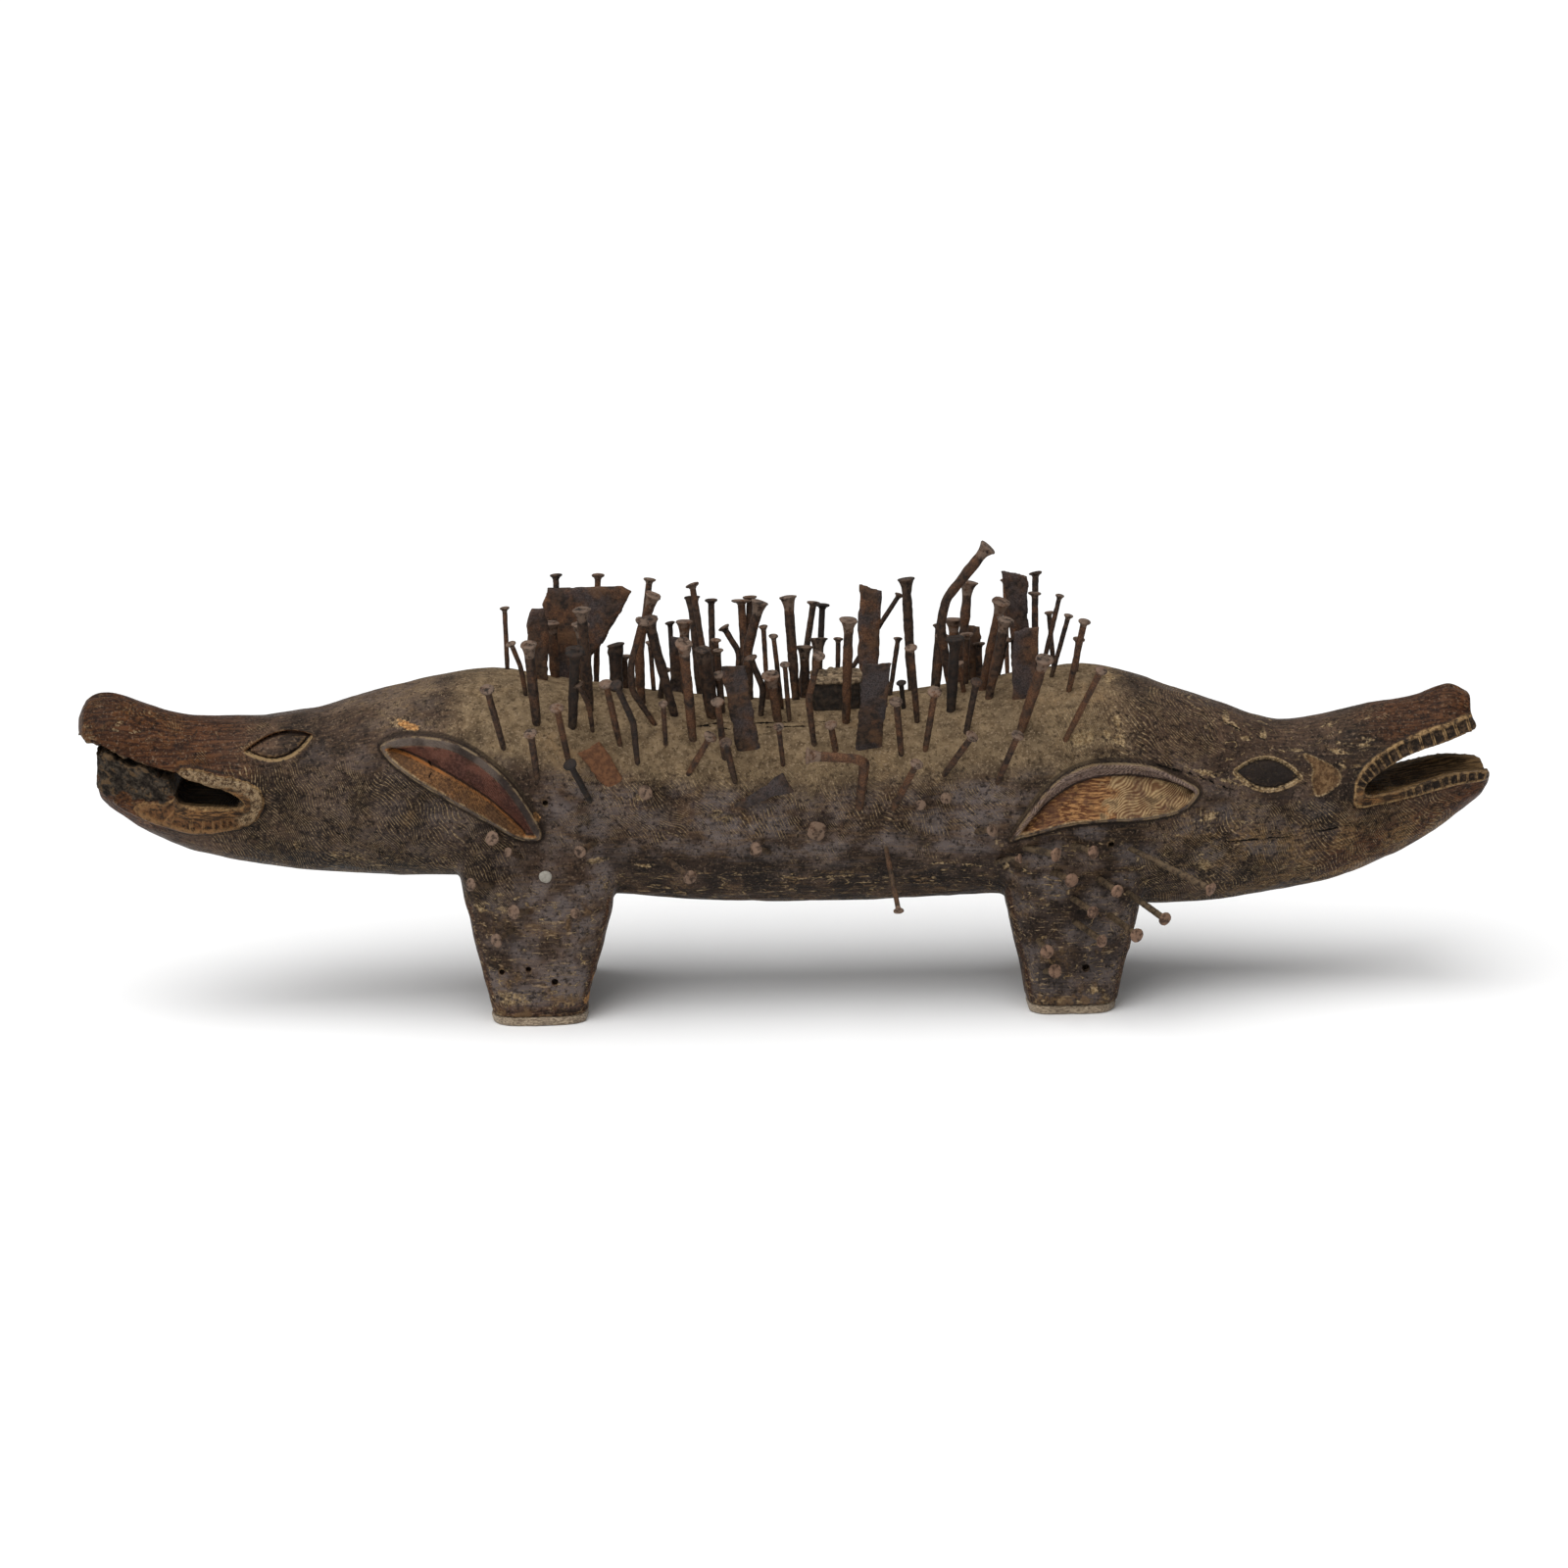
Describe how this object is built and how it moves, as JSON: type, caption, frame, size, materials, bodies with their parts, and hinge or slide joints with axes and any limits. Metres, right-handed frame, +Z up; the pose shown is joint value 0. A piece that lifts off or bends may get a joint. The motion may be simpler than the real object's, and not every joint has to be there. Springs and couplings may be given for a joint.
{
  "type": "nkisi nkondi figure",
  "caption": "Two-headed carved wooden animal on short legs, with toothed open mouths, iron nails and blades driven into its back and sides, and a medicine pack on its back.",
  "frame": {"origin": "middle of the underside of the whole figure, level with the undersides of the felt pads", "axes": "+X along the body from the snout that is turned up with a closed front to the snout with the wide open mouth, +Y away from the better seen side, +Z up"},
  "size_m": [0.9, 0.1882, 0.3006],
  "materials": {
    "carved_wood": "dark worn patina",
    "medicine_clay": "dry crumbly resin, clay and fibre",
    "felt": "matt felt",
    "nail_iron": "rusted, rough",
    "blade_iron": "rusted, rough"
  },
  "bodies": {
    "root": {"carved_wood_figure": "carved_wood", "medicine_pack": "medicine_clay", "felt_pad_left_near": "felt", "felt_pad_left_far": "felt", "felt_pad_right_near": "felt", "felt_pad_right_far": "felt", "iron_nail_01": "nail_iron", "iron_nail_02": "nail_iron", "iron_nail_03": "nail_iron", "iron_nail_04": "nail_iron", "iron_nail_05": "nail_iron", "iron_nail_06": "nail_iron", "iron_nail_07": "nail_iron", "iron_nail_08": "nail_iron", "iron_nail_09": "nail_iron", "iron_nail_10": "nail_iron", "iron_nail_11": "nail_iron", "iron_nail_12": "nail_iron", "iron_nail_13": "nail_iron", "iron_nail_14": "nail_iron", "iron_nail_15": "nail_iron", "iron_nail_16": "nail_iron", "iron_nail_17": "nail_iron", "iron_nail_18": "nail_iron", "iron_nail_19": "nail_iron", "iron_nail_20": "nail_iron", "iron_nail_21": "nail_iron", "iron_nail_22": "nail_iron", "iron_nail_23": "nail_iron", "iron_nail_24": "nail_iron", "iron_nail_25": "nail_iron", "iron_nail_26": "nail_iron", "iron_nail_27": "nail_iron", "iron_nail_28": "nail_iron", "iron_nail_29": "nail_iron", "iron_nail_30": "nail_iron", "iron_nail_31": "nail_iron", "iron_nail_32": "nail_iron", "iron_nail_33": "nail_iron", "iron_nail_34": "nail_iron", "iron_nail_35": "nail_iron", "iron_nail_36": "nail_iron", "iron_nail_37": "nail_iron", "iron_nail_38": "nail_iron", "iron_nail_39": "nail_iron", "iron_nail_40": "nail_iron", "iron_nail_41": "nail_iron", "iron_nail_42": "nail_iron", "iron_nail_43": "nail_iron", "iron_nail_44": "nail_iron", "iron_nail_45": "nail_iron", "iron_blade_broken_plate": "blade_iron", "iron_blade_flank_flake": "blade_iron", "iron_blade_front_strip": "blade_iron", "iron_blade_tall_strip": "blade_iron", "iron_blade_near_strip": "blade_iron", "iron_blade_flared_strip": "blade_iron", "iron_blade_short_strip": "blade_iron", "iron_blade_flank_spike": "blade_iron", "iron_blade_small_plate": "blade_iron"}
  },
  "joints": []
}
